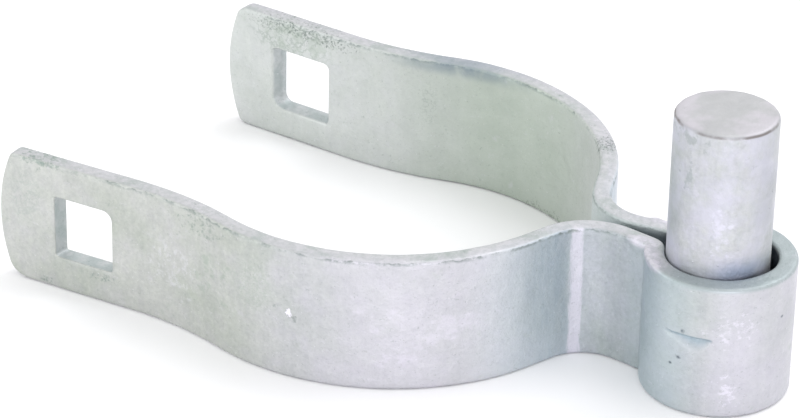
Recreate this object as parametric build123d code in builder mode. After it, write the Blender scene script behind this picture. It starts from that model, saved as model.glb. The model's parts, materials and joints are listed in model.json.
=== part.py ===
from build123d import *
from math import cos, radians, sin, sqrt
import os

# Strap hinge for a round gate post, in two pieces. One flat steel strap is bent into an eye,
# a pair of necks, two bows that clamp the post, and two legs that one carriage bolt draws
# together. A plain round pin stands in the eye, and a crimp in the eye keeps it there.
#
# Millimetres. The origin is on the pin's axis, level with the eye's top face. +Z runs up the
# pin, and -X runs from the pin toward the post and the bolt.

# Strap stock, which stands on edge
strap_t = 3.1
strap_h = 22.4
edge_r = 0.5  # rounding of the sheared edges

# Eye. Its bore is loose on the pin, which leans against one side of it.
bore_r = 8.55
eye_x = 0.46
eye_y = 0.29
eye_half_sweep = 157.0  # degrees of eye on each side, from the +X side round to the crease

# Bends and flats of one side, in the order in which the strap leaves the eye. Radii are
# those of the strap's middle line, and turns are in degrees.
crease_r = 1.9
crease_turn = 59.4
neck_l = 4.6
valley_r = 9.0
valley_turn = 76.9
bow_turn = 85.2
flare_r = 55.0
flare_turn = 18.7
leg_l = 25.1

# Post that the bows clamp
post_r = 32.9

# Square holes for the carriage bolt, and the rounded ends of the legs
hole_w = 10.6
hole_corner_r = 1.2
hole_inset = 15.9  # from the tip of the leg to the middle of the hole
tip_r = 27.0
tip_corner_r = 1.8

# Crimp: a slot-shaped dent in the eye, which stands out on the inside into the pin's groove
crimp_angle = -88.0
crimp_z = -10.2
crimp_l = 8.6
crimp_h = 2.4
crimp_depth = 1.3

# Pin
pin_r = 15.875 / 2
pin_rise = 23.6
pin_edge_r = 0.6
seat_r = 7.7  # the part hidden in the eye
seat_foot = -22.0
seat_chamfer = 0.8
groove_r = 6.0
groove_h = 4.2

# Worked out from the above
half_t = strap_t / 2
half_h = strap_h / 2
eye_mid_r = bore_r + half_t
eye_outer_r = bore_r + strap_t
bow_mid_r = post_r + half_t
tip_drop = tip_r - sqrt(tip_r**2 - half_h**2)

# Strap: the plan of the bends, cut to the flat stock's width and end shape seen from the side
with BuildPart() as strap:
    with BuildSketch(Plane((eye_x, eye_y, 0))):
        with BuildLine():
            eye = CenterArc((0, 0), eye_mid_r, 0, eye_half_sweep)
            crease = JernArc(eye @ 1, eye % 1, crease_r, -crease_turn)
            neck = Line(crease @ 1, crease @ 1 + neck_l * (crease % 1))
            valley = JernArc(neck @ 1, neck % 1, valley_r, -valley_turn)
            # The flat between valley and bow is as long as it takes to bring both bows
            # round one centre on the hinge's middle plane.
            slope = valley % 1
            flank_l = (-bow_mid_r * slope.X - (valley @ 1).Y) / slope.Y
            flank = Line(valley @ 1, valley @ 1 + flank_l * slope)
            bow = JernArc(flank @ 1, slope, bow_mid_r, bow_turn)
            flare = JernArc(bow @ 1, bow % 1, flare_r, -flare_turn)
            leg = Line(flare @ 1, flare @ 1 + leg_l * (flare % 1))
            mirror(about=Plane.XZ)
            offset(amount=half_t, side=Side.BOTH, mode=Mode.REPLACE)
        make_face()
    extrude(amount=2 * strap_h, both=True)

    with BuildSketch(Plane.XZ):
        with BuildLine():
            tip = leg @ 1
            Line((eye_x + tip.X + tip_drop, 0), (2 * eye_outer_r, 0))
            Line((2 * eye_outer_r, 0), (2 * eye_outer_r, -strap_h))
            Line((2 * eye_outer_r, -strap_h), (eye_x + tip.X + tip_drop, -strap_h))
            ThreePointArc(
                (eye_x + tip.X + tip_drop, -strap_h),
                (eye_x + tip.X, -half_h),
                (eye_x + tip.X + tip_drop, 0),
            )
        side_view = make_face()
        fillet(side_view.vertices().group_by(Axis.X)[0], tip_corner_r)
    extrude(amount=2 * post_r, both=True, mode=Mode.INTERSECT)
    long_edges = strap.edges().filter_by(Axis.Z, reverse=True).filter_by(Axis.Y, reverse=True)
    fillet(long_edges, edge_r)

    # Square holes, each punched square to its own leg
    for side in (1, -1):
        run = leg % 1
        hole_centre = tip - hole_inset * run
        hole_plane = Plane(
            origin=(eye_x + hole_centre.X, eye_y + side * hole_centre.Y, -half_h),
            x_dir=(run.X, side * run.Y, 0),
            z_dir=(-side * run.Y, run.X, 0),
        )
        with BuildSketch(hole_plane):
            RectangleRounded(hole_w, hole_w, hole_corner_r)
        extrude(amount=strap_t, both=True, mode=Mode.SUBTRACT)

    # Crimp: the dent, and the same metal standing out on the inside
    outward = Vector(cos(radians(crimp_angle)), sin(radians(crimp_angle)), 0)
    eye_centre = Vector(eye_x, eye_y, crimp_z)
    dent_plane = Plane(
        origin=eye_centre + (eye_outer_r - crimp_depth) * outward,
        x_dir=outward.rotate(Axis.Z, 90),
        z_dir=outward,
    )
    with BuildSketch(dent_plane):
        SlotOverall(crimp_l, crimp_h)
    extrude(amount=2 * crimp_depth, mode=Mode.SUBTRACT)
    with BuildSketch(dent_plane.offset(-strap_t)):
        SlotOverall(crimp_l, crimp_h)
    extrude(amount=strap_t)

strap.part.label = "strap"

# Pin: plain above the eye, slightly slimmer inside it, with a groove for the crimp
with BuildPart() as pin:
    with BuildSketch(Plane.XZ):
        with Locations((pin_r / 2, pin_rise / 2)):
            Rectangle(pin_r, pin_rise)
        with Locations((seat_r / 2, seat_foot / 2)):
            Rectangle(seat_r, -seat_foot)
        with Locations((seat_r, crimp_z)):
            Rectangle(2 * (seat_r - groove_r), groove_h, mode=Mode.SUBTRACT)
    revolve(axis=Axis.Z)
    top_edge = pin.edges().group_by(Axis.Z)[-1]
    fillet(top_edge, pin_edge_r)
    foot_edge = pin.edges().group_by(Axis.Z)[0]
    chamfer(foot_edge, seat_chamfer)
pin.part.label = "pin"

os.makedirs("parts", exist_ok=True)
for piece in (strap.part, pin.part):
    export_step(piece, f"parts/{piece.label}.step")
    size = piece.bounding_box().size
    print(f"{piece.label}: {size.X:.2f} x {size.Y:.2f} x {size.Z:.2f} mm, {piece.volume:.0f} mm3")
print(f"bow centre x {eye_x + bow.arc_center.X:.3f}, flat between valley and bow {flank_l:.2f}")
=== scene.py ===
"""Strap hinge for a round gate post: its bent strap, its pin, their zinc coats and a small studio.

One flat strip is bent into an eye, two necks, two bows and two legs, and a plain round pin stands
in the eye. Both are bare steel dipped in molten zinc. Units are metres unless a name says mm.
"""
import json
import math

import bmesh
import bpy
import numpy as np
from bpy.props import FloatProperty, FloatVectorProperty, IntProperty, PointerProperty
from mathutils import Matrix, Vector, noise
from mathutils.geometry import delaunay_2d_cdt


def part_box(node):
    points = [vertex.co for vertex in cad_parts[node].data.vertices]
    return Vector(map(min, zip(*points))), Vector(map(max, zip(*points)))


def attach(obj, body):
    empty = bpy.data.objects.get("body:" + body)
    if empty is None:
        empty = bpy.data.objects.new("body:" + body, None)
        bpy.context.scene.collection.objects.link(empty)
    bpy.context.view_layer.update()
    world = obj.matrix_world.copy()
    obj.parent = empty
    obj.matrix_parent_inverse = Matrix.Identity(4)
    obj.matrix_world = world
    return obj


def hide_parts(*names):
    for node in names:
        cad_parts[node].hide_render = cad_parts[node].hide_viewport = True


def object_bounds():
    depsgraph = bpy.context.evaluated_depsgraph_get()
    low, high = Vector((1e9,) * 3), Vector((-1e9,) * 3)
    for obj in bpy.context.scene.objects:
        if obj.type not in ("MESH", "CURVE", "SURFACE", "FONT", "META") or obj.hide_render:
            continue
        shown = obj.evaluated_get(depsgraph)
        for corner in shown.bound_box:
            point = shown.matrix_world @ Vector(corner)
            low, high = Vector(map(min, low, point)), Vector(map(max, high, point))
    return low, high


bl_info = {
    "name": "Strap hinge for a round gate post",
    "version": (1, 0, 0),
    "blender": (4, 5, 0),
    "location": "3D View > Sidebar > Strap hinge",
    "description": "Builds a bent strap, its pin, their zinc coats and a small studio",
    "category": "Add Mesh",
}

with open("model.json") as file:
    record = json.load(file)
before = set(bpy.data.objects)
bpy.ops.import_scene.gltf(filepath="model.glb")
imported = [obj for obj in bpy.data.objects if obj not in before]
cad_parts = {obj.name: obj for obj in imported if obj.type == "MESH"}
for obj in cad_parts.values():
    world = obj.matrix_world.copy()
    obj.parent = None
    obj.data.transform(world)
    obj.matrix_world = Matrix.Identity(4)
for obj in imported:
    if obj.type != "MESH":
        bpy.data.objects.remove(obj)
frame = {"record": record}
cad_low, cad_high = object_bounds()

MM = 0.001

mounts = {m["name"]: m for m in frame["record"]["mounts"]}
post = mounts["post_clamp"]
pintle = mounts["pintle"]
strap_low, strap_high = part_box("strap")
pin_low, pin_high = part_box("pin")


def colour(hex_code):
    """An sRGB hex colour as linear RGBA."""
    parts = [int(hex_code[i : i + 2], 16) / 255 for i in (1, 3, 5)]
    linear = [c / 12.92 if c <= 0.04045 else ((c + 0.055) / 1.055) ** 2.4 for c in parts]
    return (*linear, 1.0)


# ---------------------------------------------------------------- what a user would change


class HingeStrapSettings(bpy.types.PropertyGroup):
    """Sizes of the strip and its bends, which repeat the CAD model's, and of its edges and mesh"""

    thickness: FloatProperty(
        name="Thickness", description="Thickness of the strip", default=3.1 * MM, unit="LENGTH"
    )
    height: FloatProperty(
        name="Height", description="Width of the strip, which stands on edge",
        default=strap_high.z - strap_low.z, unit="LENGTH",
    )
    eye_radius: FloatProperty(
        name="Eye radius", description="Middle line of the eye", default=10.1 * MM, unit="LENGTH"
    )
    eye_sweep: FloatProperty(
        name="Eye sweep", description="Turn of each half of the eye",
        default=math.radians(157.0), subtype="ANGLE",
    )
    crease_radius: FloatProperty(
        name="Crease radius", description="Bend between the eye and the neck",
        default=1.9 * MM, unit="LENGTH",
    )
    crease_turn: FloatProperty(
        name="Crease turn", description="Turn between the eye and the neck",
        default=math.radians(59.4), subtype="ANGLE",
    )
    neck: FloatProperty(name="Neck", description="Length of the flat neck", default=4.6 * MM, unit="LENGTH")
    valley_radius: FloatProperty(
        name="Valley radius", description="Bend between the neck and the bow",
        default=9.0 * MM, unit="LENGTH",
    )
    valley_turn: FloatProperty(
        name="Valley turn", description="Turn between the neck and the bow",
        default=math.radians(76.9), subtype="ANGLE",
    )
    bow_turn: FloatProperty(
        name="Bow turn", description="Turn of the bow that clamps the post",
        default=math.radians(85.2), subtype="ANGLE",
    )
    flare_radius: FloatProperty(
        name="Flare radius", description="Bend between the bow and the leg",
        default=55.0 * MM, unit="LENGTH",
    )
    flare_turn: FloatProperty(
        name="Flare turn", description="Turn between the bow and the leg",
        default=math.radians(18.7), subtype="ANGLE",
    )
    leg: FloatProperty(
        name="Leg", description="Length of the straight leg", default=25.1 * MM, unit="LENGTH"
    )
    tip_radius: FloatProperty(
        name="Tip radius", description="Arc across the end of the leg", default=27.0 * MM, unit="LENGTH"
    )
    hole: FloatProperty(
        name="Bolt hole", description="Side of the square hole", default=10.6 * MM, unit="LENGTH"
    )
    hole_inset: FloatProperty(
        name="Hole inset", description="From the tip of the leg to the middle of the hole",
        default=15.9 * MM, unit="LENGTH",
    )
    edge: FloatProperty(
        name="Edge", description="Rounding of the sheared edges", default=0.6 * MM, unit="LENGTH"
    )
    spacing: FloatProperty(
        name="Spacing", description="Distance between mesh points on the broad faces",
        default=0.62 * MM, unit="LENGTH",
    )
    relief: FloatProperty(
        name="Relief", description="Depth of the zinc coat's unevenness", default=0.09 * MM, unit="LENGTH"
    )


class HingePinSettings(bpy.types.PropertyGroup):
    """Sizes of the pin"""

    radius: FloatProperty(
        name="Radius", description="Radius of the bare pin",
        default=pintle["dims"]["r_mm"] * MM, unit="LENGTH",
    )
    rise: FloatProperty(
        name="Rise", description="Height of the pin above the eye", default=pin_high.z, unit="LENGTH"
    )
    seat_radius: FloatProperty(
        name="Seat radius", description="The part in the eye", default=7.7 * MM, unit="LENGTH"
    )
    groove_radius: FloatProperty(
        name="Groove radius", description="The groove that the crimp holds", default=6.0 * MM, unit="LENGTH"
    )
    edge: FloatProperty(
        name="Top edge", description="Rounding of the cropped top", default=0.7 * MM, unit="LENGTH"
    )


class HingeZincSettings(bpy.types.PropertyGroup):
    """The zinc coat and the drops of it that froze on the surface"""

    tone: FloatVectorProperty(
        name="Tone", description="Ground colour of the zinc", size=4, min=0.0, max=1.0,
        default=colour("#CACDCB"), subtype="COLOR",
    )
    density: FloatProperty(
        name="Density", description="Pimples on each square metre", default=9000.0, min=0.0
    )
    size: FloatProperty(
        name="Size", description="Radius of a large pimple", default=0.24 * MM, unit="LENGTH"
    )
    seed: IntProperty(name="Seed", description="Which scatter is used", default=7)


class HingeStageSettings(bpy.types.PropertyGroup):
    """The studio and its camera"""

    azimuth: FloatProperty(
        name="Azimuth", description="Where the camera stands, round from -Y",
        default=math.radians(31.43), subtype="ANGLE",
    )
    elevation: FloatProperty(
        name="Elevation", description="Height of the camera above the floor's plane",
        default=math.radians(28.59), subtype="ANGLE",
    )
    roll: FloatProperty(
        name="Roll", description="Lean of the camera", default=math.radians(1.11), subtype="ANGLE"
    )
    distance: FloatProperty(
        name="Distance", description="From the camera to the point it looks at",
        default=556.6 * MM, unit="LENGTH",
    )
    target: FloatVectorProperty(
        name="Target", description="Point that the camera looks at",
        default=(-46.99 * MM, -15.27 * MM, 0.0), subtype="XYZ", unit="LENGTH",
    )
    lens: FloatProperty(name="Lens", description="Focal length, in millimetres", default=163.3)
    paper: FloatVectorProperty(
        name="Paper", description="Colour of the floor", size=4, min=0.0, max=1.0,
        default=colour("#F7F7F7"), subtype="COLOR",
    )
    floor_size: FloatProperty(name="Floor", description="Side of the floor", default=6.0, unit="LENGTH")


# ---------------------------------------------------------------- nodes and meshes


def add(tree, kind, inputs=None, **settings):
    """Adds a node, makes its settings, and fills or links its inputs by name or number."""
    node = tree.nodes.new(kind)
    for name, value in settings.items():
        setattr(node, name, value)
    for key, value in (inputs or {}).items():
        if isinstance(value, bpy.types.Node):
            value = next(s for s in value.outputs if s.enabled)
        if isinstance(value, bpy.types.NodeSocket):
            tree.links.new(value, node.inputs[key])
        else:
            node.inputs[key].default_value = value
    return node


def new_geometry_tree(name, sockets):
    """A Geometry Nodes tree with a geometry input and output and the named inputs."""
    tree = bpy.data.node_groups.new(name, "GeometryNodeTree")
    tree.interface.new_socket("Geometry", in_out="INPUT", socket_type="NodeSocketGeometry")
    tree.interface.new_socket("Geometry", in_out="OUTPUT", socket_type="NodeSocketGeometry")
    for socket, kind in sockets.items():
        tree.interface.new_socket(socket, in_out="INPUT", socket_type=f"NodeSocket{kind}")
    return tree


def evaluate(piece, tree, values):
    """Runs a tree on a piece, and leaves the result as its plain mesh."""
    modifier = piece.modifiers.new(tree.name, "NODES")
    modifier.node_group = tree
    for item in tree.interface.items_tree:
        if item.item_type == "SOCKET" and item.in_out == "INPUT" and item.name in values:
            modifier[item.identifier] = values[item.name]
    depsgraph = bpy.context.evaluated_depsgraph_get()
    made = bpy.data.meshes.new_from_object(
        piece.evaluated_get(depsgraph), preserve_all_data_layers=True, depsgraph=depsgraph
    )
    piece.modifiers.remove(modifier)
    old = piece.data
    made.name = piece.name
    piece.data = made
    bpy.data.meshes.remove(old)
    return piece


def new_piece(name, vertices, faces):
    """A piece whose mesh has these vertices and faces."""
    mesh = bpy.data.meshes.new(name)
    mesh.from_pydata(vertices, [], faces)
    mesh.validate()
    piece = bpy.data.objects.new(name, mesh)
    bpy.context.scene.collection.objects.link(piece)
    return piece


# ---------------------------------------------------------------- zinc coat


def bare_look(tree, where, tone):
    """What a coat's patterns lie on, and its tone, roughness and height in millimetres so far."""
    return {"tree": tree, "where": where, "tone": tone, "rough": 0.5, "height": 0.0}


def patches(
    look, size_mm, low=0.0, high=1.0, detail=4.0, stretch=(1.0, 1.0, 1.0), roughness=0.55, turn=0.0
):
    """Irregular patches about size_mm across, longer along an axis with a stretch over 1.

    They are 0 where their noise is under low, and 1 where it is over high.
    """
    tree, scale = look["tree"], tuple(1.0 / (size_mm * MM * s) for s in stretch)
    place = {"Vector": look["where"], "Scale": scale, "Location": (turn, 0, 0)}
    moved = add(tree, "ShaderNodeMapping", place)
    grain = add(
        tree, "ShaderNodeTexNoise",
        {"Vector": moved, "Scale": 1.0, "Detail": detail, "Roughness": roughness},
    )
    return add(tree, "ShaderNodeMapRange", {0: grain, 1: low, 2: high}, interpolation_type="SMOOTHSTEP")


def lay(look, masks, tint=None, share=1.0, how="MIX", rough=0.0, height=0.0):
    """Lays a tint on a look where every mask holds, and adds to its roughness and height there.

    A mask is a value from 0 to 1, or (value, low, high), which steps from 0 at low to 1 at high.
    """
    tree, here = look["tree"], share
    for mask in masks:
        if isinstance(mask, tuple):
            mask = add(
                tree, "ShaderNodeMapRange", dict(enumerate(mask)), interpolation_type="SMOOTHSTEP"
            )
        here = add(tree, "ShaderNodeMath", {0: mask, 1: here}, operation="MULTIPLY")
    if tint is not None:
        tint = colour(tint) if isinstance(tint, str) else tint
        look["tone"] = add(
            tree, "ShaderNodeMix", {0: here, 6: look["tone"], 7: tint}, data_type="RGBA",
            blend_type=how,
        )
    for name, change in (("rough", rough), ("height", height)):
        if change:
            look[name] = add(
                tree, "ShaderNodeMath", {0: here, 1: change, 2: look[name]},
                operation="MULTIPLY_ADD",
            )


def band(place, *edges):
    """Two masks that hold between the middle two of four edges in millimetres, and fade past them."""
    outer_low, low, high, outer_high = (edge * MM for edge in edges)
    return (place, outer_low, low), (place, outer_high, high)


def zinc_ground(look, streaks):
    """Lays what every part of the coat shares on a look."""
    tree, where = look["tree"], look["where"]
    lay(look, [patches(look, 15.0, 0.36, 0.64)], "#D3D4D5")
    lay(look, [patches(look, 3.2, 0.42, 0.72, turn=4.0)], "#D9D6E0", 0.3)
    lay(look, [patches(look, 6.5, 0.5, 0.74, turn=9.0)], "#C2C9C0", 0.3)
    lay(look, [streaks], "#FAFAFB", how="MULTIPLY")
    lay(look, [patches(look, 0.7, 0.25, 0.75, roughness=0.7)], "#F0F1F1", how="MULTIPLY")
    # Spangle, the zinc's crystals: fine here, so each is only a shade from the next.
    crystals = add(tree, "ShaderNodeTexVoronoi", {"Vector": where, "Scale": 1.0 / (1.5 * MM)})
    shade = add(tree, "ShaderNodeSeparateColor", {0: crystals.outputs["Color"]}).outputs[0]
    lay(look, [(shade, 0.0, 1.0)], "#FBFBFC", how="MULTIPLY", height=0.008)
    lay(look, [patches(look, 2.6, 0.2, 0.8)], height=0.07)
    lay(look, [patches(look, 0.5, 0.2, 0.8, detail=2.0)], height=0.018)
    lay(look, [patches(look, 5.0, 0.3, 0.7, turn=2.0)], rough=0.14)
    # Specks of dross and pinholes, each about 0.4 mm, on a few cells out of many.
    cells = add(tree, "ShaderNodeTexVoronoi", {"Vector": where, "Scale": 1.0 / (3.4 * MM)})
    chosen = add(tree, "ShaderNodeSeparateColor", {0: cells.outputs["Color"]}).outputs[1]
    speck = [(cells.outputs["Distance"], 0.1, 0.04), (chosen, 0.82, 0.86)]
    lay(look, speck, "#838C88", 0.5, rough=0.15, height=-0.06)


def finish_material(material, look):
    """Puts a look's colour, roughness and bump on the material's shader."""
    tree = material.node_tree
    shader = tree.nodes["Principled BSDF"]
    shader.inputs["Metallic"].default_value = 1.0
    bump = add(tree, "ShaderNodeBump", {"Height": look["height"], "Strength": 1.0, "Distance": MM})
    tree.links.new(look["tone"].outputs[2], shader.inputs["Base Color"])
    tree.links.new(look["rough"].outputs[0], shader.inputs["Roughness"])
    tree.links.new(bump.outputs[0], shader.inputs["Normal"])
    return material


def new_material(name):
    """A material with nodes, whose shader is still plain."""
    material = bpy.data.materials.new(name)
    material.use_nodes = True
    return material


# Marks on the strip, in millimetres from its middle: name, place along it, across its thickness
# and up it, reach along and up, grain of the mark, share of it that shows (or "soft" for an even
# shade and "lace" for thin wandering lines), colour, strength of the colour, and height.
STRIP_MARKS = (
    # The crater is a small real bump with a painted highlight on it, and its shade is a painted shadow in a
    # small dip beside it.
    ("crater", (-88.5, 1.5, 0.2), (0.8, 1.5), 0.5, 0.75, "#FAF8FF", 0.9, 0.12),
    ("shade of the crater", (-87.6, 1.5, -0.5), (0.7, 1.2), 0.5, 0.60, "#8F9896", 0.5, -0.10),
    ("small crater", (-90.8, 1.5, 0.9), (1.3, 0.8), 0.5, 0.35, "#A9B2AE", 0.6, -0.08),
    # Painted highlight beside the crimp: a soft lighter patch with brighter streaks, on faint real ridges.
    ("rub beside the crimp", (-8.4, 1.5, 0.0), (7.0, 14.0), 3.0, "soft", "#D8D5E0", 0.35, 0.0),
    ("streaks in the rub", (-9.0, 1.5, 4.0), (5.5, 5.0), 0.9, 0.32, "#EBE8F2", 0.45, 0.02),
    ("foot of the rub", (-9.6, 1.5, -6.5), (2.6, 4.5), 0.9, 0.30, "#F0EDF7", 0.5, 0.02),
    ("speck above the crimp", (-15.9, 1.5, 3.0), (0.45, 0.5), 0.5, "soft", "#5E6A72", 1.0, 0.0),
    ("speck below the crimp", (-16.3, 1.5, -1.7), (0.5, 0.4), 0.5, "soft", "#5E6A72", 1.0, -0.05),
    ("speck under that", (-17.5, 1.5, -3.1), (0.4, 0.35), 0.5, "soft", "#5E6A72", 1.0, 0.0),
    ("speck on the right", (-1.5, 1.5, 4.5), (0.5, 0.35), 0.5, "soft", "#6C777E", 0.8, 0.0),
    ("scale on the back leg", (129.0, -1.5, 9.8), (17.0, 2.6), 0.5, 0.34, "#6E7C74", 0.7, -0.04),
    ("lace on the back leg", (132.0, -1.5, 7.8), (11.0, 4.2), 1.3, "lace", "#9DA9A1", 0.45, 0.0),
    ("stain on the back leg", (130.0, -1.5, 8.2), (16.0, 5.0), 2.4, 0.34, "#BAC3BA", 0.5, 0.0),
    ("pits on the back bow", (61.0, 0.0, 11.0), (5.0, 3.0), 0.4, 0.22, "#6E7975", 0.75, -0.06),
    ("stain on the front leg", (-137.5, 0.3, 11.0), (6.5, 2.2), 0.9, 0.28, "#94A29A", 0.7, 0.0),
    ("scale on the front leg", (-106.0, 1.5, 8.8), (9.0, 3.4), 0.8, 0.22, "#95A29A", 0.65, 0.0),
    ("sage on the front leg", (-103.0, 1.5, 1.0), (7.0, 9.0), 3.2, 0.32, "#AEB9AE", 0.55, 0.0),
    ("runs on the front leg", (-112.0, 1.5, -1.0), (9.0, 8.0), 1.2, 0.20, "#DEDEE2", 0.45, 0.0),
    ("scratches on the front bow", (-95.0, 1.5, 3.0), (5.0, 6.0), 0.8, "lace", "#B4BDB4", 0.5, 0.0),
    # Painted highlight on the middle of the front bow.
    ("rub on the front bow", (-70.0, 1.5, -1.0), (17.0, 9.0), 3.0, 0.30, "#E0DDE6", 0.5, 0.0),
    ("burr by the front hole", (-126.0, 1.5, -6.6), (6.0, 1.2), 0.6, 0.22, "#95A39D", 0.7, 0.0),
    ("lace on the front tip", (-140.0, 1.5, 4.0), (4.0, 7.0), 1.6, "lace", "#B0BAB4", 0.35, 0.0),
    ("chips on the front tip", (-136.5, 1.5, -10.0), (2.6, 1.2), 0.5, 0.24, "#8D9A96", 0.7, 0.0),
    ("scratch on the back leg", (105.0, -1.5, 3.0), (2.2, 5.0), 0.9, "lace", "#A8B1AB", 0.4, 0.0),
    ("lower rim of the back leg", (79.0, -1.5, -10.6), (14.0, 1.5), 0.6, 0.26, "#8F998D", 0.7, 0.0),
    # Painted shade along the top of the back leg's inner face.
    ("upper rim of the back leg", (99.0, -1.5, 10.4), (17.0, 2.2), 3.0, "soft", "#8594A0", 0.7, 0.0),
)

# The same on the pin, from its middle: the place is across, across and up.
PIN_MARKS = (
    ("scrape on the left", (-1.9, -7.7, 15.5), (1.3, 6.5), 1.8, 0.36, "#A9B1B2", 0.55, 0.0),
    ("ridge beside the scrape", (-0.6, -7.9, 13.5), (0.8, 6.0), 1.4, 0.24, "#D6D5DE", 0.5, 0.06),
    # Painted shade on the pin's left flank.
    ("grey left flank", (-5.8, -5.6, 12.0), (4.0, 18.0), 4.0, "soft", "#A9B1B2", 0.55, 0.0),
    # Painted highlight near the middle of the pin.
    ("rub near the middle", (3.6, -7.2, 8.0), (3.0, 8.0), 2.0, 0.32, "#E3E2EE", 0.5, 0.0),
    ("shade on the right", (8.0, 0.0, 12.0), (5.0, 26.0), 5.0, "soft", "#AAAEB2", 0.5, 0.0),
    # Painted shade at the foot of the pin, where it goes into the eye.
    ("blue foot", (6.2, -4.8, 0.4), (7.0, 3.4), 2.6, "soft", "#96A4BC", 0.7, 0.0),
    ("grey under the top", (-3.0, -7.2, 21.5), (7.0, 2.6), 1.6, 0.36, "#A4ABAA", 0.5, 0.0),
)


def mark(look, place, size, grain, share, tint, strength, height):
    """Lays one mark on a look."""
    tree = look["tree"]
    (x, y, z), (reach, rise) = place, size
    spot = add(
        tree, "ShaderNodeMapping",
        {
            "Vector": look["where"],
            "Location": (-x / reach, -y / (reach + 1.0), -z / rise),
            "Scale": (1 / (reach * MM), 1 / ((reach + 1.0) * MM), 1 / (rise * MM)),
        },
    )
    away = add(tree, "ShaderNodeVectorMath", {0: spot}, operation="LENGTH").outputs["Value"]
    if share == "soft":
        masks = [(away, 1.0, 0.0), patches(look, grain, 0.1, 0.6, detail=2.0, turn=x)]
    elif share == "lace":
        wander = patches(look, grain, turn=x, detail=3.0)
        off = add(tree, "ShaderNodeMath", {0: wander, 1: 0.5}, operation="SUBTRACT")
        line = add(tree, "ShaderNodeMath", {0: off}, operation="ABSOLUTE")
        masks = [(line, 0.07, 0.02), (away, 1.0, 0.4)]
    else:
        speckle = patches(look, grain, 0.3, 0.8, detail=3.0, roughness=0.7, turn=x)
        near = add(
            tree, "ShaderNodeMapRange", {0: away, 1: 0.15, 2: 1.0, 3: share, 4: -0.25},
            interpolation_type="SMOOTHSTEP",
        )
        both = add(tree, "ShaderNodeMath", {0: speckle, 1: near}, operation="ADD")
        masks = [(both, 0.5, 0.95)]
    lay(look, masks, tint, strength, rough=0.05, height=height)


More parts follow.
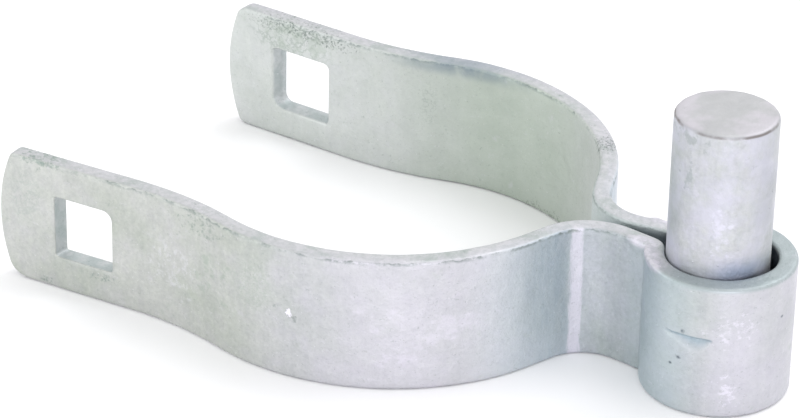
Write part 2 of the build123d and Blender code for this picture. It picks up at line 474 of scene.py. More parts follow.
def galvanised_strip(strap, zinc):
    """Hot-dip galvanised steel strip, bent first and dipped after.

    The zinc froze where it hung, so the faces are clouded, faintly streaked from top to bottom and
    soft in their gloss. The sheared edges are rougher and paler, and a thin dark line marks their rims.
    Light and shade are painted on it in places: highlights on the fronts of the bow and the eye and in
    the tight bend, and shade in the crease, the crimp, the back bow, the eye's bore and between the necks.
    """
    material = new_material("galvanised_strip")
    tree = material.node_tree
    flat = add(tree, "ShaderNodeAttribute", attribute_name="blank").outputs["Vector"]
    along, across, up = parts = add(tree, "ShaderNodeSeparateXYZ", {0: flat}).outputs
    reach, depth, level = [
        add(tree, "ShaderNodeMath", {0: part}, operation="ABSOLUTE") for part in parts
    ]
    half = strap.thickness / 2
    look = bare_look(tree, flat, tuple(zinc.tone))
    runs = patches(look, 1.1, 0.3, 0.7, detail=3.0, stretch=(1.0, 1.0, 14.0))
    zinc_ground(look, runs)

    inside = (across, 0.2 * MM, -0.2 * MM)
    outside = (across, -0.2 * MM, 0.2 * MM)
    # The side that faces the post is painted a faint green-grey all over. In the back bow it is darker and
    # mottled: painted shade, where the front bow screens that face from the light.
    lay(look, [inside], "#D5DAD4", 0.5)
    mottle = patches(look, 16.0, 0.3, 0.6, turn=17.0)
    # Painted shade: darker sage on the inner face of the back bow, mottled.
    back = [inside, *band(along, 62, 82, 92, 116)]
    lay(look, back, "#BCC6BA", 0.62)
    lay(look, [*back, mottle], "#B0BBAE", 0.3)
    # The fronts of the bow and of the eye are painted lighter and faintly violet: painted highlights,
    # tinted like the lamp they reflect. The eye's left side gets a teal painted shade.
    lay(look, [outside, *band(along, -90, -76, -62, -52)], "#DAD7E0", 0.45)
    lay(look, [outside, (along, -15 * MM, -9 * MM)], "#CFCDD7", 0.4)
    lay(look, [outside, *band(along, -31, -26, -18, -12)], "#C6D2D5", 0.45)

    # Painted reflection tints: bluer in the tight bends near the eye, warmer on the front leg.
    lay(look, [outside, (along, -84 * MM, -102 * MM)], "#FCFDF6", how="MULTIPLY")
    lay(look, band(reach, 8, 24, 46, 60), "#F1F6F8", how="MULTIPLY")
    # Painted light on the tight bend: a lighter band over it, a dull bluish painted shade before it,
    # and a bright painted highlight strip with ragged sides in it.
    streak_noise = patches(look, 1.2, 0.2, 0.8, stretch=(1, 1, 5), turn=5.0, roughness=0.7)
    ragged = add(tree, "ShaderNodeMath", {0: streak_noise, 1: 0.9 * MM, 2: reach}, operation="MULTIPLY_ADD")
    painted_dull_shade = [outside, (reach, 57 * MM, 46 * MM), (ragged, 43.2 * MM, 44.2 * MM)]
    lay(look, [outside, *band(reach, 44, 47, 54, 64)], "#E3EAEF", 0.4)
    lay(look, painted_dull_shade, "#BDCAD2", 0.3)
    lay(look, [*painted_dull_shade, (streak_noise, 0.35, 0.75)], "#A2B4C0", 0.2)
    painted_highlight = [outside, *band(ragged, 41.2, 41.9, 43.3, 44.1)]
    lay(look, painted_highlight, "#E1DFE8", 0.85)
    # Painted shade in the crease beside the eye.
    lay(look, [outside, *band(reach, 28, 30, 31, 33.6)], "#A8B6B9", 0.3)

    # Walls of the strip: the sheared edges have a fine sandy grain, lighter than the faces, and the
    # punched holes are bluer and darker.
    wall = (depth, half - 0.12 * MM, half - 0.5 * MM)
    sand = patches(look, 1.0, 0.3, 0.7, turn=6.0)
    sheared = add(
        tree, "ShaderNodeMix", {0: sand, 6: colour("#C0C2C4"), 7: colour("#D0CFD3")},
        data_type="RGBA",
    )
    lay(look, [wall], sheared, 0.8, rough=0.08)
    lay(look, [wall, sand], height=0.04)
    stain = patches(look, 9.0, 0.5, 0.64, detail=6.0, turn=14.0, roughness=0.7)
    long_edge = [wall, (level, 9 * MM, 10 * MM)]
    lay(look, [*long_edge, stain], "#ABB5B0", 0.6)
    grit = patches(look, 0.9, 0.6, 0.72, detail=5.0, turn=27.0, roughness=0.7)
    lay(look, [*long_edge, grit], "#8E9895", 0.6, height=-0.03)
    punched = [wall, (level, 7 * MM, 6 * MM), *band(reach, 100, 110, 136, 138)]
    lay(look, punched, "#C3CBC9", 0.45)
    lay(look, [*punched, patches(look, 3.0, 0.4, 0.6, turn=41.0)], "#9FAEAC", 0.35)
    lay(look, [*punched, grit], "#7F918F", 0.6)

    # A thin broken dark line where the edge turns into a broad face.
    frayed = add(
        tree, "ShaderNodeMath",
        {0: patches(look, 1.3, 0.2, 0.8, turn=8.0), 1: 0.4 * MM, 2: depth},
        operation="MULTIPLY_ADD",
    )
    rim = [
        (frayed, half + 0.02 * MM, half + 0.14 * MM), (frayed, half + 0.42 * MM, half + 0.2 * MM),
        (up, 10.25 * MM, 10.9 * MM), (reach, 26 * MM, 32 * MM),
        patches(look, 4.5, 0.4, 0.6, detail=6.0, turn=3.0, roughness=0.75),
    ]
    lay(look, rim, "#7E8985", 0.75)
    # The eye's rounded top rim is darker and bluer.
    lay(look, [(up, 10.2 * MM, 10.9 * MM), (reach, 23 * MM, 17 * MM)], "#AEB9BA", 0.8)
    # The bore of the eye is painted nearly black in its gap: painted shadow between the pin and the eye.
    # The inner faces out to the valley are painted a darker blue-grey: painted shade between the necks.
    lay(look, [inside, (up, 10.9 * MM, 10 * MM), (reach, 31 * MM, 27 * MM)], "#2E3645", 0.95)
    lay(look, [inside, (up, 10.9 * MM, 9 * MM), (reach, 42 * MM, 32 * MM)], "#8593A0", 0.6)

    # Crimp: its dent is painted bluer and darker, painted shade on its slope, under a dark painted shadow
    # line along its upper edge.
    dent = add(tree, "ShaderNodeAttribute", attribute_name="dent").outputs["Fac"]
    lay(look, [(dent, 0.0, 0.8)], "#A6B8C0", 0.8)
    lay(look, [(dent, 1.1, 2.0)], "#81929A", 0.8)
    # The crest of thick zinc beside the eye is pale and lumpy.
    crest = add(tree, "ShaderNodeAttribute", attribute_name="zinc").outputs["Fac"]
    lay(look, [(crest, 0.05, 0.35)], "#C9C9CF", 0.9)
    lay(look, [(crest, 0.05, 0.35), sand], "#E4E1E9", 0.8)

    for name, *facts in STRIP_MARKS:
        mark(look, *facts)
    return finish_material(material, look)


def galvanised_bar(pin, zinc):
    """Hot-dip galvanised round bar, cropped to length.

    Its drawn surface leaves faint lines along it, and the cropped top is grainier, with a thin dark
    line where its edge turns over. Light and shade are also painted on its side: a highlight near the
    middle, and shade on both flanks and at its foot.
    """
    material = new_material("galvanised_bar")
    tree = material.node_tree
    where = add(tree, "ShaderNodeTexCoord").outputs["Object"]
    up = add(tree, "ShaderNodeSeparateXYZ", {0: where}).outputs["Z"]
    look = bare_look(tree, where, tuple(zinc.tone))
    lines = patches(look, 0.6, 0.3, 0.7, detail=3.0, stretch=(1.0, 1.0, 12.0))
    zinc_ground(look, lines)
    lay(look, [lines], height=0.006)
    mottle = patches(look, 7.0, 0.35, 0.65, detail=5.0, turn=21.0, roughness=0.65)
    lay(look, [mottle], "#D5D4E3", 0.6)
    scuffs = patches(
        look, 2.0, 0.55, 0.72, detail=5.0, stretch=(1, 1, 2.5), turn=31.0, roughness=0.7
    )
    lay(look, [scuffs], "#B9C0C3", 0.35)
    for name, *facts in PIN_MARKS:
        mark(look, *facts)

    top = (up, pin.rise - 0.35 * MM, pin.rise - 0.12 * MM)
    sand = patches(look, 1.1, 0.3, 0.7, turn=6.0)
    lay(look, [top], "#BFC1BF", 0.9)
    lay(look, [top, patches(look, 9.0, 0.42, 0.55, detail=3.0, turn=12.0)], "#D8D3DA", 0.9)
    lay(look, [top, sand], "#D2D1D3", 0.22, height=0.015)
    lay(look, [(up, pin.rise - 1.0 * MM, pin.rise - 0.3 * MM)], "#BCBCBF", 0.5, rough=0.25)
    rim = [
        (up, pin.rise - 0.75 * MM, pin.rise - 0.5 * MM),
        (up, pin.rise - 0.2 * MM, pin.rise - 0.4 * MM),
        patches(look, 4.0, 0.36, 0.6, turn=3.0),
    ]
    lay(look, rim, "#7A716C", 0.75)
    return finish_material(material, look)


# ---------------------------------------------------------------- strap


OUTLINE_STEP = 0.5 * MM


def strap_runs(s):
    """Length and turn of each stretch of one side, in order from the middle of the eye."""
    point = np.array([s.eye_radius, 0.0])
    heading = math.pi / 2
    bow_radius = post["dims"]["r_mm"] * MM + s.thickness / 2

    def arc(radius, turn):
        nonlocal point, heading
        side = 1.0 if turn > 0 else -1.0
        before = side * np.array([-math.sin(heading), math.cos(heading)])
        heading += turn
        after = side * np.array([-math.sin(heading), math.cos(heading)])
        point = point + radius * (before - after)
        return radius * abs(turn), turn

    def line(length):
        nonlocal point
        point = point + length * np.array([math.cos(heading), math.sin(heading)])
        return length, 0.0

    runs = [
        arc(s.eye_radius, s.eye_sweep),
        arc(s.crease_radius, -s.crease_turn),
        line(s.neck),
        arc(s.valley_radius, -s.valley_turn),
    ]
    # The flank is as long as it must be for the bows of both sides to share one centre.
    to_centre = bow_radius * math.cos(heading)
    runs.append(line(-(point[1] + to_centre) / math.sin(heading)))
    runs += [arc(bow_radius, s.bow_turn), arc(s.flare_radius, -s.flare_turn), line(s.leg)]
    return runs


def strip_outline(s, half_length):
    """Outline of the flat strip, anticlockwise: the two arched tips and the two long edges."""
    half = s.height / 2
    z = half * np.sin(np.linspace(-math.pi / 2, math.pi / 2, 61))

    def tip(lower, upper):
        """How far the leg reaches at each level, with these roundings of its two corners."""
        radius = np.where(z > 0, upper, lower)
        past = np.clip(np.abs(z) - (half - radius), 0.0, radius)
        corner = radius - np.sqrt(np.maximum(radius**2 - past**2, 0.0))
        return half_length - (s.tip_radius - np.sqrt(s.tip_radius**2 - z**2)) - corner

    left, right = tip(1.0 * MM, 1.7 * MM), tip(2.4 * MM, 0.9 * MM)
    top = np.linspace(left[-1], -right[-1], round((left[-1] + right[-1]) / OUTLINE_STEP))[1:-1]
    foot = np.linspace(-right[0], left[0], round((left[0] + right[0]) / OUTLINE_STEP))[1:-1]
    return np.concatenate([
        np.stack([left, z], 1),
        np.stack([top, np.full(len(top), half)], 1),
        np.stack([-right[::-1], z[::-1]], 1),
        np.stack([foot, np.full(len(foot), -half)], 1),
    ])


def hole_outline(s, centre, corners):
    """Outline of a square hole, clockwise, with its corners' radii from the lower tip side on."""
    half = s.hole / 2
    side = 1.0 if centre > 0 else -1.0
    points = []
    # Each corner as its two directions out from the hole's middle, the first toward the tip.
    for (u, w), radius in zip(((1, -1), (-1, -1), (-1, 1), (1, 1)), corners):
        middle = np.array([u * (half - radius), w * (half - radius)])
        start = math.atan2(w, u) + math.pi / 4
        for a in np.linspace(0, -math.pi / 2, 7):
            points.append(middle + radius * np.array([math.cos(start + a), math.sin(start + a)]))
    points = np.array(points)
    ring = []
    for here, there in zip(points, np.roll(points, -1, 0)):
        count = max(1, round(float(np.hypot(*(there - here))) / OUTLINE_STEP))
        for k in range(count):
            ring.append(here + (there - here) * k / count)
    ring = np.array(ring) * [side, 1.0]
    if side < 0:
        ring = ring[::-1]
    return ring + [centre, 0.0]


def left_normals(loop):
    """Unit normals to the left of a closed loop, which is the side that the metal is on."""
    way = np.roll(loop, -1, 0) - np.roll(loop, 1, 0)
    way /= np.linalg.norm(way, axis=1)[:, None]
    return np.stack([-way[:, 1], way[:, 0]], 1)


def edge_profile(thickness, outer, inner, rows=5, steps=4):
    """(inset, level) of each ring round an edge, from the outer face to the inner one."""
    half = thickness / 2
    turn = np.linspace(0, math.pi / 2, steps + 1)
    first = [(outer * (1 - math.sin(a)), half - outer * (1 - math.cos(a))) for a in turn]
    last = [(inner * (1 - math.sin(a)), -half + inner * (1 - math.cos(a))) for a in turn[::-1]]
    between = np.linspace(first[-1][1], last[0][1], rows + 2)[1:-1]
    return first + [(0.0, level) for level in between] + last


def wall_rings(s, loop, outer, inner, slope, torn_side):
    """Rings of points down the wall at a loop, from the outer face's rim to the inner face's."""
    normals = left_normals(loop)
    tip_side = np.sign(loop.mean(0)[0])
    toward = np.stack([
        np.clip(normals[:, 0] * tip_side, 0, 1) * tip_side, -np.clip(-normals[:, 1], 0, 1)
    ], 1)
    rings = []
    for inset, level in edge_profile(s.thickness, outer, inner):
        torn = max(0.0, torn_side * level / (s.thickness / 2))
        ring = loop + normals * inset + toward * slope * torn
        rings.append([(x, level, z) for x, z in ring])
    return rings


def lattice(s, step, low, high):
    """Staggered points between two places along the strip, on all of its width."""
    points = []
    for n, z in enumerate(np.arange(-s.height / 2, s.height / 2, step * math.sqrt(3) / 2)):
        x = np.arange(low + (n % 2) * step / 2, high - 0.4 * step, step)
        points.append(np.stack([x, np.full(len(x), z)], 1))
    return np.concatenate(points)


def broad_face(s, vertices, rims, points, sign):
    """Fills a broad face between its rims with those of the points on it, and gives its triangles."""
    owners, edges, rings = [], [], []
    keep = np.ones(len(points), bool)
    for n, rim in enumerate(rims):
        ring = np.array([[vertices[i][0], vertices[i][2]] for i in rim])
        keep &= clear_of(points, ring, 0.6 * s.spacing, inside=(n == 0))
        start, count = len(owners), len(rim)
        edges += [(start + i, start + (i + 1) % count) for i in range(count)]
        owners += rim
        rings.append(ring)
    filling = points[keep]
    owners += range(len(vertices), len(vertices) + len(filling))
    vertices += [(x, sign * s.thickness / 2, z) for x, z in filling]
    flat = [Vector(p) for p in np.concatenate([*rings, filling])]
    _, _, triangles, origin, _, _ = delaunay_2d_cdt(flat, edges, [], 1, 1e-9)
    triangles = np.array([[origin[v][0] for v in triangle] for triangle in triangles])
    centres = np.array(flat)[triangles].mean(1)
    metal = np.ones(len(triangles), bool)
    for ring in rings[1:]:
        metal &= clear_of(centres, ring, 0.0, inside=False)
    return [tuple(owners[i] for i in triangle[::-sign]) for triangle in triangles[metal]]


def make_blank(s):
    """The flat strip with its holes, its rounded edges and its crimp, as a piece."""
    runs = strap_runs(s)
    half_length = sum(length for length, _ in runs)
    middle = half_length - s.hole_inset
    # Each loop has its roundings at the outer and the inner face. The punch tore a hole's walls, so
    # they slope on two sides: how far out toward the tip and down, from mid-thickness to one face.
    front = hole_outline(s, -middle, np.array([0.5, 0.5, 1.6, 0.6]) * MM)
    back = hole_outline(s, middle, np.array([1.4, 0.5, 1.0, 0.5]) * MM)
    loops = [
        (strip_outline(s, half_length), s.edge, s.edge, (0.0, 0.0), 1),
        (front, 0.3 * MM, 0.4 * MM, (-0.5 * MM, -0.15 * MM), -1),
        (back, 0.5 * MM, 0.3 * MM, (1.15 * MM, 0.65 * MM), -1),
    ]
    vertices, faces = [], []
    outer_rims, inner_rims = [], []
    for loop, *facts in loops:
        rings = wall_rings(s, loop, *facts)
        first, count = len(vertices), len(loop)
        last = first + (len(rings) - 1) * count
        vertices += [point for ring in rings for point in ring]
        for a in range(first, last, count):
            for i in range(count):
                j = (i + 1) % count
                faces.append((a + i, a + j, a + count + j, a + count + i))
        outer_rims.append(range(first, first + count))
        inner_rims.append(range(last, last + count))

    # The points on the broad faces are closer together round the crimp.
    crimp, _ = crimp_place(s)
    fine_step, fine_reach = 0.3 * MM, 6.0 * MM
    fine_low, fine_high = crimp - fine_reach, crimp + fine_reach
    points = np.concatenate([
        lattice(s, s.spacing, -half_length, fine_low),
        lattice(s, fine_step, fine_low, fine_high),
        lattice(s, s.spacing, fine_high, half_length),
    ])
    faces += broad_face(s, vertices, outer_rims, points, 1)
    faces += broad_face(s, vertices, inner_rims, points, -1)
    shaped, dent, zinc = press_details(np.array(vertices), s, runs)
    piece = new_piece("strap_bent", [tuple(v) for v in shaped], faces)
    for name, values in (("dent", dent), ("zinc", zinc)):
        attribute = piece.data.attributes.new(name, "FLOAT", "POINT")
        attribute.data.foreach_set("value", values.astype(np.float32))
    mesh = bmesh.new()
    mesh.from_mesh(piece.data)
    bmesh.ops.recalc_face_normals(mesh, faces=mesh.faces)
    mesh.to_mesh(piece.data)
    mesh.free()
    return piece, runs


def clear_of(points, ring, gap, inside):
    """Which points are further than gap from a closed ring, and on the side of it that is asked."""
    crossings = np.zeros(len(points), int)
    nearest = np.full(len(points), 1e9)
    for a, b in zip(ring, np.roll(ring, -1, 0)):
        along = b - a
        t = np.clip(((points - a) @ along) / max(along @ along, 1e-18), 0, 1)
        nearest = np.minimum(nearest, np.hypot(*(points - a - t[:, None] * along).T))
        if a[1] != b[1]:
            low, high = (a, b) if a[1] < b[1] else (b, a)
            rows = (points[:, 1] >= low[1]) & (points[:, 1] < high[1])
            x = low[0] + (points[:, 1] - low[1]) / (high[1] - low[1]) * (high[0] - low[0])
            crossings += rows & (points[:, 0] < x)
    return ((crossings % 2 == 1) == inside) & (nearest > gap)


def crimp_place(s):
    """Where the crimp is on the flat strip: along it, and its level."""
    return -1.56 * s.eye_radius, 2.1 * MM


def press_details(v, s, runs):
    """Dents the crimp into the eye and lets the zinc gather in the creases."""
    along, level, up = v[:, 0].copy(), v[:, 1].copy(), v[:, 2].copy()
    half = s.thickness / 2

    def step(x, low, high):
        t = np.clip((x - low) / (high - low), 0, 1)
        return t * t * (3 - 2 * t)

    # Crimp: a chisel nick with a sharp upper edge and a leaf-shaped slope below it.
    centre, top = crimp_place(s)
    start, length, height, depth = -4.2 * MM, 8.2 * MM, 2.1 * MM, 1.05 * MM
    share = np.clip((along - centre - start) / length, 0, 1)
    leaf = np.sin(math.pi * share**2.1) ** 0.75
    slope = np.clip(1 + (up - top) / np.maximum(height * leaf, 1e-9), 0, 1)
    slope *= 1 - step(up, top, top + 0.25 * MM)
    outer = level > half - 0.1 * MM
    dent = np.where(outer, leaf * slope, 0.0)
    level -= depth * dent
    # The upper edge of the dent is also marked, for the dark painted shadow line the material lays there.
    line = outer & (np.abs(up - top - 0.1 * MM) < 0.17 * MM)
    dent = np.where(line, 2.0 * leaf, dent)
    bulge = leaf * np.exp(-(((up - top + 1.0 * MM) / (1.5 * MM)) ** 2))
    level -= np.where(v[:, 1] < 0, 0.9 * MM * bulge, 0.0)

    # The zinc gathers in the crease beside the eye, and stands up in a lumpy crest along its rim.
    crease = runs[0][0] + runs[1][0]
    beside = np.abs(np.abs(along) - crease + 3.0 * MM)
    lump = (1 - step(beside, 3.5 * MM, 8.0 * MM)) * step(level, -half, half)
    bumps = np.array([noise.noise(Vector(p) / (1.5 * MM)) for p in v])
    upper = step(up, s.height / 2 - 1.6 * MM, s.height / 2)
    up += upper * lump * (0.20 + 0.34 * bumps) * MM
    level += np.where(level > 0, lump * (0.16 + 0.34 * bumps) * MM * upper, 0)
    zinc = 0.5 * lump * upper

    # Shearing leaves the long edges a little wavy, and only ever inside the true line.
    wave = np.array([noise.noise(Vector((p[0], 0.3, p[1])) / (7.0 * MM)) for p in v])
    near = step(np.abs(up), s.height / 2 - 2.5 * MM, s.height / 2)
    up -= np.sign(up) * near * (0.03 + 0.04 * wave) * MM
    # Zinc narrows the top of the bore where the pin leans toward the front of the eye.
    front = 1 - step(np.abs(along + 0.9 * s.eye_radius), 4.0 * MM, 11.0 * MM)
    lip = front * step(up, s.height / 2 - 4.0 * MM, s.height / 2 - 0.8 * MM)
    level -= (1 - step(level, -half, half)) * lip * 0.38 * MM
    return np.stack([along, level, up], 1), dent, zinc


BEND_FACTS = ("start", "length", "turn")


def bend_group():
    """A node group that turns the part of a flat strip that lies past a start, round one bend."""
    tree = bpy.data.node_groups.new("Bend", "GeometryNodeTree")
    tree.interface.new_socket("Point", in_out="INPUT", socket_type="NodeSocketVector")
    tree.interface.new_socket("Point", in_out="OUTPUT", socket_type="NodeSocketVector")
    for name in ("Along", "Start", "Length", "Turn"):
        tree.interface.new_socket(name, in_out="INPUT", socket_type="NodeSocketFloat")
    given = add(tree, "NodeGroupInput").outputs
    past = add(tree, "ShaderNodeMath", {0: given["Along"], 1: given["Start"]}, operation="SUBTRACT")
    bent = add(tree, "ShaderNodeClamp", {0: past, 1: 0.0, 2: given["Length"]})
    share = add(tree, "ShaderNodeMath", {0: bent, 1: given["Length"]}, operation="DIVIDE")
    angle = add(tree, "ShaderNodeMath", {0: share, 1: given["Turn"]}, operation="MULTIPLY")
    radius = add(tree, "ShaderNodeMath", {0: given["Length"], 1: given["Turn"]}, operation="DIVIDE")
    reach = add(tree, "ShaderNodeMath", {0: bent, 1: given["Start"]}, operation="ADD")
    foot = add(tree, "ShaderNodeCombineXYZ", {0: reach})
    local = add(tree, "ShaderNodeVectorMath", {0: given["Point"], 1: foot}, operation="SUBTRACT")
    turned = add(
        tree, "ShaderNodeVectorRotate", {"Vector": local, "Angle": angle}, rotation_type="Z_AXIS"
    )
    sine = add(tree, "ShaderNodeMath", {0: angle}, operation="SINE")
    cosine = add(tree, "ShaderNodeMath", {0: angle}, operation="COSINE")
    rise = add(tree, "ShaderNodeMath", {0: 1.0, 1: cosine}, operation="SUBTRACT")
    x = add(tree, "ShaderNodeMath", {0: radius, 1: sine, 2: given["Start"]}, operation="MULTIPLY_ADD")
    y = add(tree, "ShaderNodeMath", {0: radius, 1: rise}, operation="MULTIPLY")
    end = add(tree, "ShaderNodeCombineXYZ", {0: x, 1: y})
    moved = add(tree, "ShaderNodeVectorMath", {0: turned, 1: end}, operation="ADD")
    add(tree, "NodeGroupOutput", {0: moved})
    return tree


def bent_strap_tree(bends):
    """Bends the flat strip into the strap, last bend first, and gives its coat some relief."""
    names = [f"{name} {fact}" for name, *_ in bends for fact in BEND_FACTS]
    sockets = dict.fromkeys(names, "Float")
    sockets |= {"Eye radius": "Float", "Eye place": "Vector", "Relief": "Float", "Material": "Material"}
    tree = new_geometry_tree("Bent strap", sockets)
    given = add(tree, "NodeGroupInput").outputs
    flat = add(tree, "GeometryNodeInputPosition")
    kept = add(
        tree, "GeometryNodeStoreNamedAttribute",
        {"Geometry": given["Geometry"], "Name": "blank", "Value": flat},
        data_type="FLOAT_VECTOR", domain="POINT",
    )
    # Relief of the coat, cut into the strip and never proud of it.
    broad = add(tree, "ShaderNodeTexNoise", {"Vector": flat, "Scale": 1 / (9.0 * MM), "Detail": 3.0})
    fine = add(tree, "ShaderNodeTexNoise", {"Vector": flat, "Scale": 1 / (2.2 * MM), "Detail": 2.0})
    both = add(tree, "ShaderNodeMath", {0: fine, 1: 0.35, 2: broad}, operation="MULTIPLY_ADD")
    depth = add(tree, "ShaderNodeMath", {0: both, 1: given["Relief"]}, operation="MULTIPLY")
    inward = add(
        tree, "ShaderNodeVectorMath",
        {0: add(tree, "GeometryNodeInputNormal"), "Scale": depth}, operation="SCALE",
    )
    uneven = add(tree, "ShaderNodeVectorMath", {0: flat, 1: inward}, operation="SUBTRACT")
    cut = add(tree, "GeometryNodeSetPosition", {"Geometry": kept, "Position": uneven})
    # One side's path serves both: the other is its mirror image.
    parts = add(tree, "ShaderNodeSeparateXYZ", {0: add(tree, "GeometryNodeInputPosition")}).outputs
    along = add(tree, "ShaderNodeMath", {0: parts["X"]}, operation="ABSOLUTE")
    side = add(tree, "ShaderNodeMath", {0: parts["X"]}, operation="SIGN")
    across = add(tree, "ShaderNodeMath", {0: parts["Y"], 1: -1.0}, operation="MULTIPLY")
    point = add(tree, "ShaderNodeCombineXYZ", {0: along, 1: across, 2: parts["Z"]})
    bend = bend_group()
    for name, *_ in reversed(bends):
        inputs = {fact.capitalize(): given[f"{name} {fact}"] for fact in BEND_FACTS}
        inputs |= {"Point": point, "Along": along}
        point = add(tree, "GeometryNodeGroup", inputs, node_tree=bend)
    made = add(tree, "ShaderNodeSeparateXYZ", {0: point}).outputs
    x = add(tree, "ShaderNodeMath", {0: given["Eye radius"], 1: made["Y"]}, operation="SUBTRACT")
    y = add(tree, "ShaderNodeMath", {0: made["X"], 1: side}, operation="MULTIPLY")
    plan = add(tree, "ShaderNodeCombineXYZ", {0: x, 1: y, 2: made["Z"]})
    placed = add(tree, "ShaderNodeVectorMath", {0: plan, 1: given["Eye place"]}, operation="ADD")
    shaped = add(tree, "GeometryNodeSetPosition", {"Geometry": cut, "Position": placed})
    # The strip's frame is left-handed beside the world's, so its faces come out turned inwards.
    outward = add(tree, "GeometryNodeFlipFaces", {"Mesh": shaped})
    smooth = add(tree, "GeometryNodeSetShadeSmooth", {"Geometry": outward})
    real = add(tree, "GeometryNodeRealizeInstances", {0: smooth})
    painted = add(tree, "GeometryNodeSetMaterial", {"Geometry": real, "Material": given["Material"]})
    add(tree, "NodeGroupOutput", {0: painted})
    return tree


class HINGE_OT_strap(bpy.types.Operator):
    """Makes the strap: a flat punched strip, bent in the order of its runs, and coated"""

    bl_idname = "hinge.strap"
    bl_label = "Strap"

    def execute(self, context):
        s = context.scene.hinge_strap
        piece, runs = make_blank(s)
        names = ("Eye", "Crease", None, "Valley", None, "Bow", "Flare", None)
        bends, start = [], 0.0
        for name, (length, turn) in zip(names, runs):
            if name:
                bends.append((name, start, length, turn))
            start += length
        rest = mounts["gate_rest"]["pos_m"]
        values = {
            "Eye radius": s.eye_radius,
            "Eye place": (rest[0] - s.eye_radius, rest[1], (strap_low.z + strap_high.z) / 2),
            "Relief": s.relief,
            "Material": galvanised_strip(s, context.scene.hinge_zinc),
        }
        for name, *numbers in bends:
            values |= {f"{name} {fact}": number for fact, number in zip(BEND_FACTS, numbers)}
        evaluate(piece, bent_strap_tree(bends), values)
        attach(piece, "strap")
        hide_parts("strap")
        return {"FINISHED"}


# ---------------------------------------------------------------- pin


def pin_profile(p):
    """(radius, height) of the pin's outline, from the middle of its top to the middle of its foot."""
    groove_low, groove_high = -11.7 * MM, -7.5 * MM
    shoulder_high, shoulder_low = -3.0 * MM, -4.0 * MM
    foot, chamfer = pin_low.z, 0.8 * MM
    crown = 0.05 * MM
    points = [(p.radius * k / 14, p.rise - crown * (k / 14) ** 2) for k in range(1, 13)]
    for a in np.linspace(math.pi / 2, 0, 7):
        points.append((
            p.radius - p.edge * (1 - math.cos(a)),
            p.rise - crown - p.edge * (1 - math.sin(a)),
        ))
    for z in np.linspace(p.rise - crown - p.edge, 0.3 * MM, 46)[1:]:
        points.append((p.radius, z))
    points += [(p.radius, shoulder_high / 2), (p.radius, shoulder_high), (p.seat_radius, shoulder_low)]
    points += [(p.seat_radius, groove_high)]
    points += [(p.groove_radius, groove_high), (p.groove_radius, groove_low)]
    points += [(p.seat_radius, groove_low), (p.seat_radius, foot + chamfer)]
    points += [(p.seat_radius - chamfer, foot), (p.seat_radius / 2, foot)]
    return points


def pin_mesh(p):
    """Points and faces of the pin: its outline turned round, a little uneven, and chipped at the top."""
    segments = 144
    profile = pin_profile(p)
    vertices = [(0.0, 0.0, p.rise)]
    for radius, z in profile:
        near_top = max(0.0, 1 - (p.rise - z) / (1.6 * MM)) if radius > 0.8 * p.radius else 0.0
        for k in range(segments):
            a = 2 * math.pi * k / segments
            x, y = math.cos(a), math.sin(a)
            ridge = noise.noise(Vector((2.0 * x, 2.0 * y, z / (9.0 * MM))))
            chip = noise.noise(Vector((5.0 * x, 5.0 * y, 3.0)))
            r = radius - (0.02 + 0.02 * ridge) * MM - near_top * (0.05 + 0.16 * chip) * MM
            dip = 0.04 * MM * (1 + noise.noise(Vector((r * x, r * y, 0)) / (2.5 * MM)))
            drop = dip if z > p.rise - 1.0 * MM else 0.0
            vertices.append((r * x, r * y, z - drop))
    foot = len(vertices)
    vertices.append((0.0, 0.0, pin_low.z))
    faces = [(0, 1 + k, 1 + (k + 1) % segments) for k in range(segments)]
    last = 1 + (len(profile) - 1) * segments
    for a in range(1, last, segments):
        b = a + segments
        for k in range(segments):
            j = (k + 1) % segments
            faces.append((a + k, b + k, b + j, a + j))
    faces += [(foot, last + (k + 1) % segments, last + k) for k in range(segments)]
    return vertices, faces


class HINGE_OT_pin(bpy.types.Operator):
    """Makes the pin: a cropped round bar with its crimped seat, and coats it"""

    bl_idname = "hinge.pin"
    bl_label = "Pin"

    def execute(self, context):
        p = context.scene.hinge_pin
        piece = new_piece("pin_bar", *pin_mesh(p))
        piece.data.shade_smooth()
        piece.data.materials.append(galvanised_bar(p, context.scene.hinge_zinc))
        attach(piece, "pin")
        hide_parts("pin")
        return {"FINISHED"}


# ---------------------------------------------------------------- drops of zinc


def drops_tree():
    """Scatters low round pimples over a surface and leaves only them."""
    sockets = {"Density": "Float", "Size": "Float", "Seed": "Int", "Material": "Material"}
    tree = new_geometry_tree("Zinc drops", sockets)
    given = add(tree, "NodeGroupInput").outputs
    scattered = add(
        tree, "GeometryNodeDistributePointsOnFaces",
        {"Mesh": given["Geometry"], "Density": given["Density"], "Seed": given["Seed"]},
    )
    drop = add(tree, "GeometryNodeMeshIcoSphere", {"Radius": 1.0, "Subdivisions": 2})
    shrink = add(
        tree, "FunctionNodeRandomValue", {2: 0.35, 3: 1.0, "Seed": given["Seed"]}, data_type="FLOAT"
    )
    width = add(tree, "ShaderNodeMath", {0: shrink.outputs[1], 1: given["Size"]}, operation="MULTIPLY")
    height = add(tree, "ShaderNodeMath", {0: width, 1: 0.3}, operation="MULTIPLY")
    placed = add(
        tree, "GeometryNodeInstanceOnPoints",
        {
            "Points": scattered.outputs["Points"], "Instance": drop,
            "Rotation": scattered.outputs["Rotation"],
            "Scale": add(tree, "ShaderNodeCombineXYZ", {0: width, 1: width, 2: height}),
        },
    )
    real = add(tree, "GeometryNodeRealizeInstances", {0: placed})
    smooth = add(tree, "GeometryNodeSetShadeSmooth", {"Geometry": real})
    painted = add(tree, "GeometryNodeSetMaterial", {"Geometry": smooth, "Material": given["Material"]})
    add(tree, "NodeGroupOutput", {0: painted})
    return tree


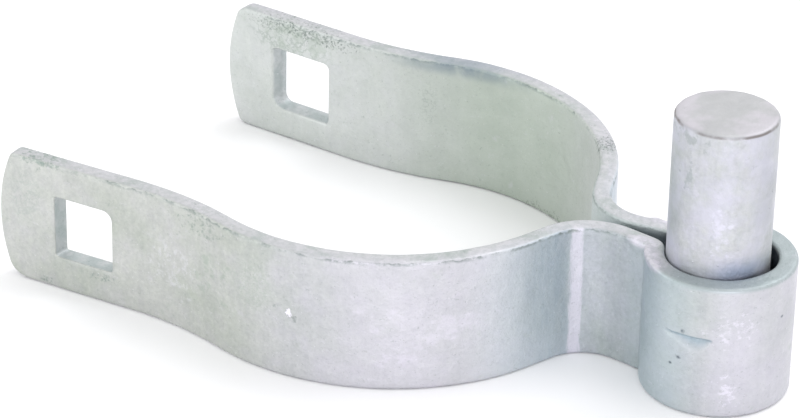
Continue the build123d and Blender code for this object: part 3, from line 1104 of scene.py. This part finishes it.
class HINGE_OT_drops(bpy.types.Operator):
    """Freezes small drops of zinc on the strap and on the pin"""

    bl_idname = "hinge.drops"
    bl_label = "Zinc drops"

    def execute(self, context):
        z = context.scene.hinge_zinc
        tree = drops_tree()
        for owner, body in (("strap_bent", "strap"), ("pin_bar", "pin")):
            source = bpy.data.objects[owner]
            piece = bpy.data.objects.new(f"{body}_zinc_drops", source.data.copy())
            context.scene.collection.objects.link(piece)
            evaluate(piece, tree, {
                "Density": z.density, "Size": z.size, "Seed": z.seed,
                "Material": source.data.materials[0],
            })
            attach(piece, body)
        return {"FINISHED"}


# ---------------------------------------------------------------- stage


def pale_paper(tone):
    """Matt white backing paper, as a studio table is covered with: an even, faintly mottled white."""
    material = new_material("pale_paper")
    tree = material.node_tree
    look = bare_look(tree, add(tree, "ShaderNodeTexCoord").outputs["Object"], tone)
    lay(look, [patches(look, 30.0, 0.3, 0.7, detail=3.0)], "#FAFAFA")
    shader = tree.nodes["Principled BSDF"]
    tree.links.new(look["tone"].outputs[2], shader.inputs["Base Color"])
    shader.inputs["Roughness"].default_value = 0.9
    return material


# Lamps: degrees round from the camera and up, distance and side in metres, watts and tint.
LAMPS = (
    ("key", 5, 14, 0.9, 0.3, 1.8, "#F6F2FF"),
    ("fill", -75, 16, 0.9, 0.5, 1.2, "#F4F8FF"),
    ("top", 120, 60, 1.0, 0.8, 4.0, "#FAFAFF"),
)


def soft_box(name, azimuth, elevation, distance, size, power, tint):
    """A large square lamp that faces the object from a direction round it."""
    lamp = bpy.data.lights.new(name, "AREA")
    lamp.size = size
    lamp.energy = power
    lamp.color = colour(tint)[:3]
    holder = bpy.data.objects.new(name, lamp)
    bpy.context.scene.collection.objects.link(holder)
    middle = (cad_low + cad_high) / 2
    back = direction(azimuth, elevation)
    holder.location = middle + back * distance
    holder.rotation_mode = "QUATERNION"
    holder.rotation_quaternion = back.to_track_quat("Z", "Y")


def direction(azimuth, elevation):
    """From the object toward a place round it: azimuth 0 is -Y and turns toward +X."""
    return Vector((
        math.sin(azimuth) * math.cos(elevation),
        -math.cos(azimuth) * math.cos(elevation),
        math.sin(elevation),
    ))


class HINGE_OT_stage(bpy.types.Operator):
    """Sets up the floor, the soft lights and the camera"""

    bl_idname = "hinge.stage"
    bl_label = "Stage"

    def execute(self, context):
        s = context.scene.hinge_stage
        half = s.floor_size / 2
        z = cad_low.z
        floor = new_piece(
            "floor", [(-half, -half, z), (half, -half, z), (half, half, z), (-half, half, z)],
            [(0, 1, 2, 3)],
        )
        floor.data.materials.append(pale_paper(tuple(s.paper)))
        world = bpy.data.worlds.new("soft_room")
        world.use_nodes = True
        background = world.node_tree.nodes["Background"]
        background.inputs["Color"].default_value = colour("#FFFFFF")
        background.inputs["Strength"].default_value = 1.0
        context.scene.world = world
        for name, azimuth, elevation, *facts in LAMPS:
            soft_box(name, s.azimuth + math.radians(azimuth), math.radians(elevation), *facts)
        context.scene.view_settings.view_transform = "Standard"

        camera = bpy.data.objects.new("camera", bpy.data.cameras.new("camera"))
        context.scene.collection.objects.link(camera)
        camera.data.lens = s.lens
        camera.data.sensor_width = 36.0
        camera.data.clip_start = 0.02
        back = direction(s.azimuth, s.elevation)
        right = Vector((math.cos(s.azimuth), math.sin(s.azimuth), 0.0))
        turn = Matrix((right, back.cross(right), back)).transposed()
        camera.rotation_mode = "QUATERNION"
        camera.rotation_quaternion = (turn @ Matrix.Rotation(s.roll, 3, "Z")).to_quaternion()
        camera.location = Vector(s.target) + back * s.distance
        context.scene.camera = camera
        return {"FINISHED"}


class HINGE_PT_panel(bpy.types.Panel):
    """Lists the hinge's pieces"""

    bl_idname = "HINGE_PT_panel"
    bl_label = "Strap hinge"
    bl_space_type = "VIEW_3D"
    bl_region_type = "UI"
    bl_category = "Strap hinge"

    def draw(self, context):
        for operator in OPERATORS:
            self.layout.operator(operator.bl_idname)


OPERATORS = (HINGE_OT_strap, HINGE_OT_pin, HINGE_OT_drops, HINGE_OT_stage)
SETTINGS = {
    "hinge_strap": HingeStrapSettings,
    "hinge_pin": HingePinSettings,
    "hinge_zinc": HingeZincSettings,
    "hinge_stage": HingeStageSettings,
}


def register():
    for made in (*SETTINGS.values(), *OPERATORS, HINGE_PT_panel):
        bpy.utils.register_class(made)
    for name, group in SETTINGS.items():
        setattr(bpy.types.Scene, name, PointerProperty(type=group))


def unregister():
    for name in SETTINGS:
        delattr(bpy.types.Scene, name)
    for made in reversed((*SETTINGS.values(), *OPERATORS, HINGE_PT_panel)):
        bpy.utils.unregister_class(made)


def main():
    """Builds every piece and the stage."""
    register()
    bpy.ops.hinge.strap()
    bpy.ops.hinge.pin()
    bpy.ops.hinge.drops()
    bpy.ops.hinge.stage()


if __name__ == "__main__":
    main()
